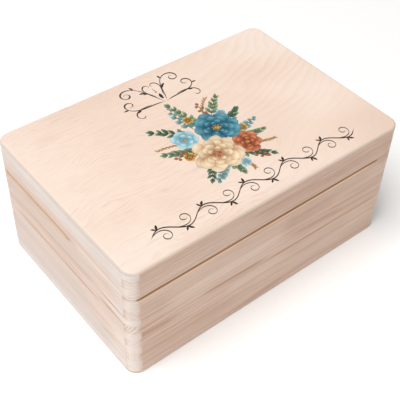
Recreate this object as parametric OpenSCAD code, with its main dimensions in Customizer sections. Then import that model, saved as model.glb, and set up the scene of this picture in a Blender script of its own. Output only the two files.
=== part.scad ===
// Hinged keepsake box of comb-jointed pine boards with a plywood top and bottom.
// The box is jointed and rounded as one closed block, then sawn apart into a base and a lid.
// X runs along the long side, Y from the front to the rear, and Z up.
// The origin is the centre of the underside.

/* [Box] */
// Outer length along X
box_length = 300; // [240:5:360]
// Outer depth from the front to the rear
box_depth = 200; // [160:5:260]
// Outer height of the closed box
box_height = 130; // [118:1:150]
// Height of the saw cut between base and lid above the underside
seam_height = 98; // [86:1:106]
// Opening left by the saw cut when the lid is shut
seam_gap = 0.3; // [0.2:0.05:0.6]

/* [Boards] */
// Thickness of the side boards
board = 10; // [9:0.5:13]
// Thickness of the plywood top panel
top_panel = 3; // [2:0.5:5]
// Thickness of the plywood bottom panel
bottom_panel = 3; // [2:0.5:5]
// Number of comb fingers over the whole height of a corner
finger_count = 14; // [10:1:18]
// Number of those fingers below the glue line between the two staves of a base wall
lower_fingers = 6; // [4:1:8]

/* [Rounding] */
// Radius of the upright corners
corner_r = 11; // [8:0.5:14]
// Radius of the edge around the top
top_edge_r = 2.5; // [1:0.25:3.5]
// Radius of the edge around the underside
bottom_edge_r = 1; // [0.5:0.25:2]

/* [Seam groove] */
// Depth of the V groove along the front of the seam
front_groove = 1.6; // [0.8:0.1:2.5]
// Depth of the V groove along the left and right of the seam
side_groove = 2.1; // [0.8:0.1:3]
// Length of the front left plain at its right end, where the groove runs out
front_plain = 32; // [20:1:80]
// Length of each side left plain at its front end, where the groove runs out
side_plain = 96; // [20:1:110]
// Radius of the cutter that leaves the run-outs
cutter_r = 40; // [25:5:80]

/* [Hinges] */
// Distance from the end of the box to the middle of a hinge
hinge_from_end = 55; // [35:1:80]
// Length of a hinge along the seam
hinge_length = 25; // [20:1:32]
// Length of the lid's knuckle in the middle of a hinge
centre_knuckle = 9; // [6:0.5:10]
// Thickness of the leaves and of the rolled knuckle wall
leaf_t = 0.8; // [0.6:0.1:1]
// Width of a leaf from the pin's axis to its inner edge
leaf_width = 8.3; // [7:0.1:9]
// Depth of the pin's axis inside the rear face
axis_inset = 1.2; // [0.9:0.1:1.4]
// Diameter of the hinge pin
pin_d = 1.6; // [1.2:0.1:2]
// Diameter of the upset heads that keep the pin in
pin_head_d = 2.4; // [2.2:0.1:2.8]
// Thickness of the upset heads
pin_head_t = 0.5; // [0.3:0.1:0.8]
// Opening angle at which the bevelled rear edges meet
stop_angle = 104; // [98:1:115]

/* [Hinge screws] */
// Diameter of the screw shank
screw_d = 2; // [1.6:0.1:2.2]
// Diameter of the countersunk head
screw_head_d = 3.8; // [3:0.1:4]
// Length of a screw from its head's face to its point
screw_length = 9; // [6:0.5:12]
// Length of the screw's point
screw_point = 1.6; // [1:0.1:2]
// Distance between the two screws of a leaf
screw_spacing = 15; // [12:0.5:16]
// Distance from the pin's axis to the line of the screws
screw_offset = 4.8; // [4:0.1:5.2]
// Width of the bars of the cross recess in a head
recess_width = 0.5; // [0.3:0.1:0.6]
// Span of the cross recess in a head
recess_span = 1.9; // [1.2:0.1:2.2]
// Depth of the cross recess in a head
recess_depth = 0.5; // [0.3:0.1:0.8]

/* [Clearances] */
// Radial clearance of the pin in the lid's knuckle
pin_running_play = 0.06; // [0.03:0.01:0.1]
// Radial clearance of the pin in the base's knuckles, where it is driven in
pin_drive_play = 0.02; // [0.01:0.01:0.04]
// End play between neighbouring knuckles
knuckle_play = 0.25; // [0.15:0.05:0.4]
// Clearance of the barrel in its rebate
barrel_play = 0.35; // [0.25:0.05:0.5]
// Clearance around the edges of a leaf in its mortise
mortise_play = 0.1; // [0.05:0.05:0.3]
// Radial clearance of a screw in its leaf and its pilot hole
screw_play = 0.03; // [0.02:0.01:0.05]

/* [Hidden] */
$fn = 64;

pine_light = "#ecd9c8";
pine_front = "#d9bda6";
pine_low = "#e6cdbb";
ply_top = "#fbe5d4";
ply_bottom = "#e8cfb4";
plated_steel = "#c9a24a";
screw_steel = "#d2b15c";

half_l = box_length / 2;
half_d = box_depth / 2;

// Levels of the horizontal joints
finger = box_height / finger_count;
glue_z = lower_fingers * finger;
base_rim_z = seam_height - seam_gap / 2;
lid_rim_z = seam_height + seam_gap / 2;
frame_top_z = box_height - top_panel;

// Hinge barrel
axis_y = half_d - axis_inset;
hinge_x = half_l - hinge_from_end;
pin_r = pin_d / 2;
lid_bore_r = pin_r + pin_running_play;
base_bore_r = pin_r + pin_drive_play;
barrel_r = lid_bore_r + leaf_t;
rebate_r = barrel_r + barrel_play;
rebate_half = hinge_length / 2 + pin_head_t + knuckle_play;
knuckle_gap_half = centre_knuckle / 2 + knuckle_play;
stop_groove = axis_inset * tan(stop_angle / 2);

// Extra length of a cutting tool past the surface that it cuts
over = 1;

// Thinnest slice of a finger that is kept where a level cuts through the comb
thin_slice = 0.05;

// Section through a wall's outer edge, from the centre line out to `half`
module edge_section(half) {
    translate([0, bottom_edge_r])
        square([half, box_height - top_edge_r - bottom_edge_r]);
    translate([0, box_height - 2 * top_edge_r])
        square([half - top_edge_r, 2 * top_edge_r]);
    square([half - bottom_edge_r, 2 * bottom_edge_r]);
    translate([half - top_edge_r, box_height - top_edge_r])
        circle(r = top_edge_r);
    translate([half - bottom_edge_r, bottom_edge_r])
        circle(r = bottom_edge_r);
}

// Whole section across the block, from one outer face to the other
module cross_section(half) {
    edge_section(half);
    mirror([1, 0])
        edge_section(half);
}

// Closed block with every outer corner and edge rounded
module rounded_block() {
    straight_x = box_length - 2 * corner_r;
    straight_y = box_depth - 2 * corner_r;
    rotate([90, 0, 90])
        linear_extrude(height = straight_x, center = true)
            cross_section(half_d);
    rotate([90, 0, 0])
        linear_extrude(height = straight_y, center = true)
            cross_section(half_l);
    for (sx = [-1, 1])
        for (sy = [-1, 1])
            translate([sx * straight_x / 2, sy * straight_y / 2, 0])
                rotate_extrude()
                    edge_section(corner_r);
}

// Block between two points
module span(low, high) {
    translate(low)
        cube(high - low);
}

// Board along X with comb fingers at both ends, between two levels; side is -1 at the front and 1 at the rear
module long_board(side, z0, z1) {
    y0 = side < 0 ? -half_d : half_d - board;
    span([board - half_l, y0, z0], [half_l - board, y0 + board, z1]);
    fingers(1, z0, z1)
        span([-half_l, y0, $low], [half_l, y0 + board, $high]);
}

// Board along Y with comb fingers at both ends, between two levels; side is -1 at the left and 1 at the right
module short_board(side, z0, z1) {
    x0 = side < 0 ? -half_l : half_l - board;
    span([x0, board - half_d, z0], [x0 + board, half_d - board, z1]);
    fingers(0, z0, z1)
        span([x0, -half_d, $low], [x0 + board, half_d, $high]);
}

// Draws its child at every second finger, counted down from the top, that lies between two levels
module fingers(first, z0, z1) {
    for (i = [first : 2 : finger_count - 1]) {
        $low = max(z0, box_height - (i + 1) * finger);
        $high = min(z1, box_height - i * finger);
        if ($high - $low > thin_slice)
            children();
    }
}

// V groove along X, cut to `depth` into a face at y = 0 from its -Y side, with a cutter's run-out at either end
module groove(x0, x1, depth, runout_low, runout_high) {
    flank = depth + over;
    rotate([90, 0, 90])
        translate([0, 0, x0])
            linear_extrude(height = x1 - x0)
                polygon([[depth, 0], [-over, flank], [-over, -flank]]);
    if (runout_low)
        cutter_disc(x0, depth, flank);
    if (runout_high)
        cutter_disc(x1, depth, flank);
}

// Rim of the disc cutter where it stops at x
module cutter_disc(x, depth, flank) {
    translate([x, depth - cutter_r, 0])
        rotate_extrude($fn = 128)
            polygon([[cutter_r, 0], [cutter_r - flank, flank], [cutter_r - flank, -flank]]);
}

// All the grooves that are worked along the seam
module seam_grooves() {
    translate([0, 0, seam_height]) {
        translate([0, -half_d, 0])
            groove(-half_l - over, half_l - front_plain, front_groove, false, true);
        translate([0, half_d, 0])
            mirror([0, 1, 0])
                groove(-half_l - over, half_l + over, stop_groove, false, false);
        for (side = [0, 1])
            mirror([side, 0, 0])
                translate([half_l, 0, 0])
                    rotate([0, 0, 90])
                        groove(side_plain - half_d, half_d + over, side_groove, true, false);
    }
}

// Draws its child at both hinges, with the pin's axis at the origin
module at_hinges() {
    for (side = [-1, 1])
        translate([side * hinge_x, axis_y, seam_height])
            children();
}

// Cylinder along X about the origin
module bar(r, length) {
    rotate([0, 90, 0])
        cylinder(r = r, h = length, center = true);
}

// Room for a hinge in a rim, with the wall below; mirrored for the lid
module hinge_recess() {
    half = hinge_length / 2 + mortise_play;
    span([-half, -leaf_width - mortise_play, -seam_gap / 2 - leaf_t], [half, 0, over]);
    bar(rebate_r, 2 * rebate_half);
    at_screws()
        screw_form(screw_play, false);
}

// Draws its child at the two screws of a leaf, with the head's face at the origin
module at_screws() {
    for (side = [-1, 1])
        translate([side * screw_spacing / 2, -screw_offset, -seam_gap / 2])
            children();
}

// Countersunk screw pointing down, made larger by `play` for the hole it sits in
module screw_form(play, with_recess) {
    shank_r = screw_d / 2 + play;
    shank_l = screw_length - screw_point;
    difference() {
        union() {
            translate([0, 0, -leaf_t])
                cylinder(r1 = shank_r, r2 = screw_head_d / 2 + play, h = leaf_t);
            translate([0, 0, -shank_l])
                cylinder(r = shank_r, h = shank_l - leaf_t + play);
            translate([0, 0, -screw_length - play])
                cylinder(r1 = play, r2 = shank_r, h = screw_point + play);
        }
        if (with_recess)
            for (turn = [0, 90])
                rotate([0, 0, turn])
                    translate([-recess_span / 2, -recess_width / 2, -recess_depth])
                        cube([recess_span, recess_width, recess_depth + over]);
    }
}

// Flat leaf below the seam, with its two countersunk holes
module leaf_plate() {
    difference() {
        span([-hinge_length / 2, -leaf_width, -seam_gap / 2 - leaf_t], [hinge_length / 2, 0, -seam_gap / 2]);
        at_screws()
            screw_form(screw_play, false);
    }
}

// Leaf in the base, with the two outer knuckles
module base_leaf() {
    outer = hinge_length / 2 - knuckle_gap_half;
    difference() {
        union() {
            leaf_plate();
            for (side = [-1, 1])
                translate([side * (knuckle_gap_half + outer / 2), 0, 0])
                    bar(barrel_r, outer);
        }
        bar(barrel_r + knuckle_play, 2 * knuckle_gap_half);
        bar(base_bore_r, hinge_length + 2 * over);
    }
}

// Leaf in the lid, drawn below the seam, with the knuckle in the middle
module lid_leaf() {
    outer = hinge_length / 2 - centre_knuckle / 2 + over;
    difference() {
        union() {
            leaf_plate();
            bar(barrel_r, centre_knuckle);
        }
        for (side = [-1, 1])
            translate([side * (centre_knuckle / 2 + outer / 2), 0, 0])
                bar(barrel_r + knuckle_play, outer);
        bar(lid_bore_r, hinge_length + 2 * over);
    }
}

// Pin with an upset head at each end
module hinge_pin() {
    bar(pin_r, hinge_length);
    for (side = [-1, 1])
        translate([side * (hinge_length + pin_head_t) / 2, 0, 0])
            bar(pin_head_d / 2, pin_head_t);
}

// Front or back board between two levels, rounded where it meets the outside of the block
module long_wall(side, z0, z1) {
    intersection() {
        long_board(side, z0, z1);
        rounded_block();
    }
}

// Left or right board between two levels, rounded where it meets the outside of the block
module short_wall(side, z0, z1) {
    intersection() {
        short_board(side, z0, z1);
        rounded_block();
    }
}

module base_front_upper() {
    color(pine_front)
        difference() {
            long_wall(-1, glue_z, base_rim_z);
            seam_grooves();
        }
}

module base_front_lower() {
    color(pine_front)
        long_wall(-1, bottom_panel, glue_z);
}

module base_back_upper() {
    color(pine_front)
        difference() {
            long_wall(1, glue_z, base_rim_z);
            seam_grooves();
            at_hinges()
                hinge_recess();
        }
}

module base_back_lower() {
    color(pine_front)
        long_wall(1, bottom_panel, glue_z);
}

module base_left_upper() {
    color(pine_low)
        difference() {
            short_wall(-1, glue_z, base_rim_z);
            seam_grooves();
        }
}

module base_left_lower() {
    color(pine_low)
        short_wall(-1, bottom_panel, glue_z);
}

module base_right_upper() {
    color(pine_low)
        difference() {
            short_wall(1, glue_z, base_rim_z);
            seam_grooves();
        }
}

module base_right_lower() {
    color(pine_low)
        short_wall(1, bottom_panel, glue_z);
}

module bottom_panel() {
    color(ply_bottom)
        intersection() {
            span([-half_l, -half_d, 0], [half_l, half_d, bottom_panel]);
            rounded_block();
        }
}

module lid_front_rail() {
    color(pine_front)
        difference() {
            long_wall(-1, lid_rim_z, frame_top_z);
            seam_grooves();
        }
}

module lid_back_rail() {
    color(pine_front)
        difference() {
            long_wall(1, lid_rim_z, frame_top_z);
            seam_grooves();
            at_hinges()
                mirror([0, 0, 1])
                    hinge_recess();
        }
}

module lid_left_rail() {
    color(pine_light)
        difference() {
            short_wall(-1, lid_rim_z, frame_top_z);
            seam_grooves();
        }
}

module lid_right_rail() {
    color(pine_light)
        difference() {
            short_wall(1, lid_rim_z, frame_top_z);
            seam_grooves();
        }
}

module lid_panel() {
    color(ply_top)
        intersection() {
            span([-half_l, -half_d, frame_top_z], [half_l, half_d, box_height]);
            rounded_block();
        }
}

module hinge_base_leaf(side) {
    color(plated_steel)
        translate([side * hinge_x, axis_y, seam_height])
            base_leaf();
}

module hinge_lid_leaf(side) {
    color(plated_steel)
        translate([side * hinge_x, axis_y, seam_height])
            mirror([0, 0, 1])
                lid_leaf();
}

module hinge_pin_at(side) {
    color(screw_steel)
        translate([side * hinge_x, axis_y, seam_height])
            hinge_pin();
}

module base_hinge_screws() {
    color(screw_steel)
        at_hinges()
            at_screws()
                screw_form(0, true);
}

module lid_hinge_screws() {
    color(screw_steel)
        at_hinges()
            mirror([0, 0, 1])
                at_screws()
                    screw_form(0, true);
}

base_front_upper();
base_front_lower();
base_back_upper();
base_back_lower();
base_left_upper();
base_left_lower();
base_right_upper();
base_right_lower();
bottom_panel();
lid_front_rail();
lid_back_rail();
lid_left_rail();
lid_right_rail();
lid_panel();
hinge_base_leaf(-1);  // left_hinge_base_leaf
hinge_lid_leaf(-1);  // left_hinge_lid_leaf
hinge_pin_at(-1);  // left_hinge_pin
hinge_base_leaf(1);  // right_hinge_base_leaf
hinge_lid_leaf(1);  // right_hinge_lid_leaf
hinge_pin_at(1);  // right_hinge_pin
base_hinge_screws();
lid_hinge_screws();
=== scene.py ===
"""Looks of a hinged, comb-jointed pine keepsake box: bare sanded wood, a plywood top with a printed posy
and pen flourishes, and small brass-plated hinges. Lengths are in millimetres unless said otherwise."""

import math
import random

import bpy
from mathutils import Matrix, Vector


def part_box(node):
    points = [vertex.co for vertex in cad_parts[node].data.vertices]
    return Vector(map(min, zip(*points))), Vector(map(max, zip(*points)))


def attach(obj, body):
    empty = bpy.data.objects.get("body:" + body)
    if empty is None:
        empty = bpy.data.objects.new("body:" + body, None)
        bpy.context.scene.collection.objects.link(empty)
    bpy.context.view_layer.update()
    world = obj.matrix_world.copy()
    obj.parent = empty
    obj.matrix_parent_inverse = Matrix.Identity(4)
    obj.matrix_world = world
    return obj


MM = 0.001

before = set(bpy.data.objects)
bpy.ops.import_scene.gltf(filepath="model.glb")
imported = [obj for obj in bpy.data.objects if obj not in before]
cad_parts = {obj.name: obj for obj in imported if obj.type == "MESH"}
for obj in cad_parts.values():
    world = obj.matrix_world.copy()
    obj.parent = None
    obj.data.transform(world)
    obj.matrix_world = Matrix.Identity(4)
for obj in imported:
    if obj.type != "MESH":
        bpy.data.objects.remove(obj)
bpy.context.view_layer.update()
scene = bpy.context.scene
scene.view_settings.view_transform = "Standard"


# -------------------------------- sizes taken from the frame

def node_box(name):
    """Lowest and highest corner of a CAD node, in millimetres."""
    low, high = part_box(name)
    return [v / MM for v in low], [v / MM for v in high]


panel_low, panel_high = node_box("lid_panel")
wall_low, wall_high = node_box("base_left_upper")
lower_stave_high = node_box("base_left_lower")[1]
lid_rail_low = node_box("lid_left_rail")[0]
HALF_LENGTH, HALF_DEPTH, TOP_Z = panel_high
PANEL_T = TOP_Z - panel_low[2]
BOARD = wall_high[0] - wall_low[0]
GLUE_Z = lower_stave_high[2]
SEAM_Z = (wall_high[2] + lid_rail_low[2]) / 2
FINGER_COUNT = 14
FINGER = TOP_Z / FINGER_COUNT


# -------------------------------- shader building

NOISE_SPREAD = 3.0
FULL_SHARE = 0.4
# The colour sockets of a Mix node.
MIX_FIRST, MIX_SECOND, MIX_RESULT = 6, 7, 2


class Shader:
    """Builds one material's node tree in short calls. A value may be a number, a colour or a socket."""

    def __init__(self, name):
        self.material = bpy.data.materials.new(name)
        self.material.use_nodes = True
        self.tree = self.material.node_tree
        self.tree.nodes.clear()
        coords = self.node("ShaderNodeTexCoord")
        self.place = self.vector("SCALE", coords.outputs["Object"], scale=1 / MM)
        self.x, self.y, self.z = self.split(self.place)
        self.nx, self.ny, self.nz = self.split(coords.outputs["Normal"])

    def node(self, kind, *values, **settings):
        """A new node, with its settings made and the values put into its first inputs."""
        made = self.tree.nodes.new(kind)
        for key, value in settings.items():
            setattr(made, key, value)
        for value, socket in zip(values, made.inputs):
            self.put(value, socket)
        return made

    def put(self, value, socket):
        if isinstance(value, bpy.types.NodeSocket):
            self.tree.links.new(value, socket)
        elif socket.type == "RGBA":
            socket.default_value = (*value, 1.0)
        else:
            socket.default_value = value

    def math(self, operation, *values):
        return self.node("ShaderNodeMath", *values, operation=operation).outputs[0]

    def vector(self, operation, *values, scale=None):
        made = self.node("ShaderNodeVectorMath", *values, operation=operation)
        if scale is not None:
            self.put(scale, made.inputs["Scale"])
        return made.outputs["Value" if operation == "LENGTH" else "Vector"]

    def split(self, value):
        return tuple(self.node("ShaderNodeSeparateXYZ", value).outputs)

    def join(self, x, y, z):
        return self.node("ShaderNodeCombineXYZ", x, y, z).outputs[0]

    def absolute(self, value):
        return self.math("ABSOLUTE", value)

    def less(self, value, other):
        return self.math("SUBTRACT", value, other)

    def inverse(self, mask):
        """1 where a mask is 0, and 0 where it is 1."""
        return self.less(1.0, mask)

    def times(self, first, *others):
        """The product of masks and strengths."""
        for other in others:
            first = self.math("MULTIPLY", first, other)
        return first

    def total(self, start, *parts):
        """A start value plus each part times its weight."""
        for part, weight in parts:
            start = self.math("MULTIPLY_ADD", part, weight, start)
        return start

    def remap(self, value, low, high, to_low=0.0, to_high=1.0):
        """Smooth step of a value from one range to another."""
        span = (low, high, to_low, to_high)
        return self.node("ShaderNodeMapRange", value, *span, interpolation_type="SMOOTHSTEP").outputs[0]

    def near(self, value, target, width):
        """1 where a value lies close to its target, falling smoothly to 0 at a width from it."""
        gap = self.absolute(self.less(value, target))
        return self.remap(gap, width * FULL_SHARE, width, 1.0, 0.0)

    def between(self, value, start, end, fade):
        """1 between two ends, with a smooth fade inside each."""
        return self.times(self.remap(value, start, start + fade), self.remap(value, end, end - fade))

    def noise(self, coords, detail=2.0, roughness=0.5, shift=0.0):
        """Noise about 0, near -1 to 1, over coordinates already divided by the size of its grain."""
        made = self.node("ShaderNodeTexNoise", noise_dimensions="4D")
        inputs = {"Vector": coords, "W": shift, "Scale": 1.0, "Detail": detail, "Roughness": roughness}
        for name, value in inputs.items():
            self.put(value, made.inputs[name])
        return self.total(-NOISE_SPREAD / 2, (made.outputs["Fac"], NOISE_SPREAD))

    def pattern(self, axes, sizes, detail=2.0, roughness=0.5, shift=0.0):
        """Noise whose grains have a size of their own along each of three axes."""
        coords = [self.math("DIVIDE", axis, size) for axis, size in zip(axes, sizes)]
        return self.noise(self.join(*coords), detail, roughness, shift)

    def mottle(self, scale, detail=2.0, roughness=0.5, shift=0.0):
        """Noise with round grains, scale of them to the millimetre."""
        return self.noise(self.vector("SCALE", self.place, scale=scale), detail, roughness, shift)

    def mix(self, factor, first, second):
        made = self.node("ShaderNodeMix", data_type="RGBA", clamp_factor=True)
        self.put(factor, made.inputs["Factor"])
        self.put(first, made.inputs[MIX_FIRST])
        self.put(second, made.inputs[MIX_SECOND])
        return made.outputs[MIX_RESULT]

    def lay(self, colour, *coats):
        """The colour with coats laid over it in turn, each a mask and a tone."""
        for mask, tone in coats:
            colour = self.mix(mask, colour, tone)
        return colour

    def shade(self, colour, *parts):
        """The colour made lighter or darker by each part in turn: multiplied by 1 + part * weight."""
        for part, weight in parts:
            factor = self.math("ADD", self.times(part, weight), 1.0)
            colour = self.vector("SCALE", colour, scale=factor)
        return colour

    def bump(self, height, distance):
        made = self.node("ShaderNodeBump")
        self.put(height, made.inputs["Height"])
        self.put(distance * MM, made.inputs["Distance"])
        self.put(1.0, made.inputs["Strength"])
        return made.outputs[0]

    def finish(self, colour, roughness, normal=None, **constants):
        """Ends the tree in one Principled shader. Constants go on the shader's own sockets."""
        shader = self.node("ShaderNodeBsdfPrincipled")
        self.put(colour, shader.inputs["Base Color"])
        self.put(roughness, shader.inputs["Roughness"])
        if normal is not None:
            self.put(normal, shader.inputs["Normal"])
        for name, value in constants.items():
            shader.inputs[name.replace("_", " ")].default_value = value
        output = self.node("ShaderNodeOutputMaterial")
        self.tree.links.new(shader.outputs[0], output.inputs["Surface"])
        return self.material


def srgb(red, green, blue):
    """Linear colour of an 8-bit sRGB one, by the standard's curve."""
    def linear(v):
        v /= 255
        return v / 12.92 if v <= 0.04045 else ((v + 0.055) / 1.055) ** 2.4
    return (linear(red), linear(green), linear(blue))


def dress(material, *names):
    """Gives CAD nodes a material."""
    for name in names:
        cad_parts[name].material_slots[0].material = material


# -------------------------------- pine

PALE = srgb(232, 213, 202)
WARM = srgb(223, 199, 184)
# Late wood and resin; also the painted shade along the saw cut.
LATE_WOOD_AND_SHADE = srgb(180, 132, 98)
# Pale sapwood; also painted light on the rounded corners.
SAP_AND_PAINTED_LIGHT = srgb(230, 221, 215)
# Burnished wood; also painted shade on the groove's upper flank and painted shadow near its root.
BURNISHED_AND_SHADOW = srgb(178, 136, 104)
GOLDEN = srgb(232, 196, 160)
TANNED = srgb(200, 166, 132)
# A painted highlight on the lower edge of the seam's groove.
ARRIS_HIGHLIGHT = srgb(252, 226, 200)
BLEACHED = srgb(244, 230, 220)
DUSKY = srgb(204, 192, 187)
# Tints: what the colour's red, green and blue are multiplied by.
ROSY = (1.03, 0.975, 0.985)
OCHREOUS = (0.985, 1.0, 0.915)
# The next tint is painted shade: it makes the front and back boards darker and warmer than the sides.
LONG_SHADE_TINT = (0.975, 0.915, 0.865)
NO_TINT = (1, 1, 1)

WOOD_SPECULAR = 0.35
JOINT_LINE = 0.16
SHOULDER_X = HALF_LENGTH - BOARD
SHOULDER_Y = HALF_DEPTH - BOARD
GLUE_MOTTLE = 0.4
GLUE_SHOWS = (-0.6, 0.5, 0.2, 1.0)


def comb_lines(s):
    """Fine glue lines round the comb fingers, on the outside of the corners."""
    across_x, across_y = s.absolute(s.x), s.absolute(s.y)
    level = s.math("DIVIDE", s.less(TOP_Z, s.z), FINGER)
    to_line = s.times(s.math("PINGPONG", level, 0.5), FINGER)
    in_x = s.math("GREATER_THAN", across_x, SHOULDER_X - JOINT_LINE)
    in_y = s.math("GREATER_THAN", across_y, SHOULDER_Y - JOINT_LINE)
    flat_line = s.times(s.near(to_line, 0.0, JOINT_LINE), in_x, in_y)
    odd = s.math("GREATER_THAN", s.math("MODULO", s.math("FLOOR", level), 2.0), 0.5)
    shoulder_x = s.times(s.near(across_x, SHOULDER_X, JOINT_LINE), s.inverse(odd), in_y)
    shoulder_y = s.times(s.near(across_y, SHOULDER_Y, JOINT_LINE), odd, in_x)
    lines = s.math("MAXIMUM", flat_line, s.math("MAXIMUM", shoulder_x, shoulder_y))
    return s.times(lines, s.remap(s.mottle(GLUE_MOTTLE), *GLUE_SHOWS))


# How far a face's normal points up or down where the face is level, sloping or upright.
LEVEL = (0.92, 0.98)
SLOPING = (0.3, 0.55)
UPRIGHT = (0.35, 0.2)
# The seam's groove and the saw cut in it: heights from the seam.
GROOVE_REACH = 2.6
GROOVE_ROOT = 1.5
ARRIS_DROP = 2.3
ARRIS_REACH = 1.2
GAP_SHADE_REACH = 0.7
# How far along a board the sanded edge and its painted highlight fade, and how far in from the box's sides
# its corners bend, where the seam's painted shade fades.
RUN_FADE = 8
BEND_START, BEND_FULL = 10, 3
# Strengths of the seam's tones, and what the bend of a corner takes off them. The upper flank and the saw cut
# carry painted shade that fades round the corners; the root carries painted shadow.
UPPER_SHADE, UPPER_BEND = 0.9, -0.6
GAP_SHADE_BEND = -0.8
FLANK_TONE, RIM_SHARE = 0.85, 0.4
ROOT_SHADOW = 0.8


def seam_coats(s, along, flank, arris, run, gap_shade):
    """Coats along the seam, in their order: the groove's flanks, the upper one burnished and darkened by
    painted shade; its lower edge, with a painted highlight on the front and back boards; painted shadow in
    its root; and a line of painted shade along the saw cut. Also returns the mask of the sawn rims."""
    lean = s.absolute(s.nz)
    level = s.remap(lean, *LEVEL)
    upright = s.remap(lean, *UPRIGHT)
    close = s.near(s.z, SEAM_Z, GROOVE_REACH)
    rim = s.times(close, level)
    groove = s.times(close, s.remap(lean, *SLOPING), s.inverse(level))
    upper = s.times(groove, s.math("GREATER_THAN", s.z, SEAM_Z))
    lower = s.less(groove, upper)
    # Painted shadow on the lower flank near the groove's root, under the lid's edge.
    root = s.remap(s.less(SEAM_Z, s.z), GROOVE_ROOT / 2, GROOVE_ROOT, ROOT_SHADOW, 0.0)
    bend_x, bend_y = (s.remap(s.absolute(place), half - BEND_START, half - BEND_FULL)
                      for place, half in ((s.x, HALF_LENGTH), (s.y, HALF_DEPTH)))
    bend = s.times(bend_x, bend_y)
    # A band along the groove's lower arris: a painted highlight on the front and back boards, a darker tan on
    # the sides.
    sanded = s.times(s.near(s.z, SEAM_Z - ARRIS_DROP, ARRIS_REACH), upright, s.between(along, *run, RUN_FADE))
    # Painted shade along the saw cut between lid and base, weaker round the corners.
    gap_shade_band = s.times(s.near(s.z, SEAM_Z, GAP_SHADE_REACH), upright, s.total(1.0, (bend, GAP_SHADE_BEND)))
    arris_tone, arris_strength = arris
    # The upper flank is burnished wood darkened by painted shade, weaker round the corners.
    coats = (
        (s.times(upper, s.total(UPPER_SHADE, (bend, UPPER_BEND))), BURNISHED_AND_SHADOW),
        (s.times(s.math("MAXIMUM", lower, s.times(rim, RIM_SHARE)), FLANK_TONE), flank),
        (s.times(sanded, arris_strength), arris_tone),
        (s.times(lower, root), BURNISHED_AND_SHADOW),
        (s.times(gap_shade_band, gap_shade), LATE_WOOD_AND_SHADE),
    )
    return coats, rim


STREAK_FADE = 24.0
HALO_REACH = 3.2
HALO_SHARE = 0.5


def streaks(s, along, height, places):
    """Streaks along a board: their ends, height at the first end, rise, half thickness and strength."""
    mask = 0.0
    for start, end, level, rise, half, strength in places:
        inside = s.between(along, start, end, min(STREAK_FADE, (end - start) / 2))
        slope = rise / (end - start)
        levelled = s.math("MULTIPLY_ADD", along, -slope, height)
        middle = level - slope * start
        core = s.near(levelled, middle, half)
        halo = s.near(levelled, middle, half * HALO_REACH)
        band = s.total(0.0, (core, 1 - HALO_SHARE), (halo, HALO_SHARE))
        mask = s.total(mask, (s.times(band, inside), strength))
    return mask


def late_wood(s, phase, power, end):
    """Late wood over a year's growth: it darkens slowly to its end, then stops short of the next year."""
    part = s.math("FRACT", phase)
    return s.times(s.math("POWER", part, power), s.remap(part, end, 1.0, 1.0, 0.0))


# Patterns of the pine: sizes along the board, across it and up, then detail, roughness and the seed's shift.
DRIFT = ((170, 45, 45), 1.5, 0.5, 0.0)
WOBBLE = ((38, 9, 9), 2.0, 0.5, 9.1)
BROAD = ((210, 60, 22), 2.0, 0.55, 21.3)
HUE = ((75, 14, 5), 2.0, 0.6, 33.1)
PATCH = ((85, 16, 16), 2.0, 0.5, 0.0)
THREAD = ((60, 1.7, 1.7), 1.0, 0.5, 47.9)
FIBRE = ((26, 0.75, 0.75), 3.0, 0.6, 0.0)
FINE = ((7, 0.25, 0.25), 2.0, 0.6, 0.0)
CANAL = ((3.2, 0.3, 0.3), 1.0, 0.5, 0.0)
KERF_SIZES = (0.7, 0.7, 1.0)
# How far the drift and the wobble push the rings, and how wet and dry years spread them.
DRIFT_PUSH = 2.2
WOBBLE_PUSH = 0.3
CLIMATE_SPAN = 13
CLIMATE_PUSH = 1.6
CLIMATE_NOISE = (1.0, 0.5, 4.4)
YEAR_STEP = 0.77
YEAR_NOISE = (1.0, 0.5, 7.9)
YEAR_RANGE = (-0.8, 0.8, 0.35, 1.25)
PINE_LATE = (2.6, 0.88)


def growth(s, axes, grain, seed, pith, ring, tilt):
    """Growth rings round a pith that runs along the board. Returns the radius and the share of late wood."""
    along, inward, up = axes
    away_in = s.less(inward, pith[0])
    away_up = s.math("MULTIPLY_ADD", along, tilt, s.less(up, pith[1]))
    radius = s.vector("LENGTH", s.join(away_in, away_up, 0.0))
    radius = s.total(radius, (grain(*DRIFT), DRIFT_PUSH), (grain(*WOBBLE), WOBBLE_PUSH))
    climate = s.noise(s.join(s.math("DIVIDE", radius, CLIMATE_SPAN), seed, 0.0), *CLIMATE_NOISE)
    phase = s.total(s.math("DIVIDE", radius, ring), (climate, CLIMATE_PUSH))
    year = s.noise(s.join(s.times(s.math("FLOOR", phase), YEAR_STEP), seed, 0.0), *YEAR_NOISE)
    return radius, s.times(late_wood(s, phase, *PINE_LATE), s.remap(year, *YEAR_RANGE))


# Ranges that turn a pattern, the turn of a corner, the lean of end grain or the radius into a mask.
BROAD_RANGE = (-0.7, 0.7)
PATCH_RANGE = (-0.7, 0.7, 0.35, 1.2)
CANAL_RANGE = (0.72, 0.95)
CORNER_TURN = (0.08, 0.45)
END_LEAN = (0.3, 0.9)
HEART_RANGE = (1.5, 5.0, 0.25, 0.0)
# Strengths of the pine's tones and shades.
END_CHALK = 0.55
END_SHARPNESS = 0.7
CANAL_TONE = 0.2
# Rounded corners are paler and lighter: partly sanded wood, partly painted light.
CORNER_PALE_AND_PAINTED_LIGHT = 0.5
CORNER_PAINTED_LIGHT = 0.075
THREAD_SHADE, FIBRE_SHADE, FINE_SHADE = 0.12, 0.12, 0.09
COMB_TONE = 0.38
GLUE_LINE, GLUE_TONE = 0.14, 0.3
# Relief in the bump and spread of the roughness.
LATE_RELIEF, FIBRE_RELIEF, FINE_RELIEF, COMB_RELIEF, KERF_RELIEF = 0.35, 0.28, 0.12, -0.8, 0.5
PINE_BUMP = 0.06
PINE_ROUGH, LATE_ROUGH, FIBRE_ROUGH = 0.66, -0.08, 0.05
SIDE_SHIFT = 3.7
STREAK_RAG = 0.5


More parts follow.
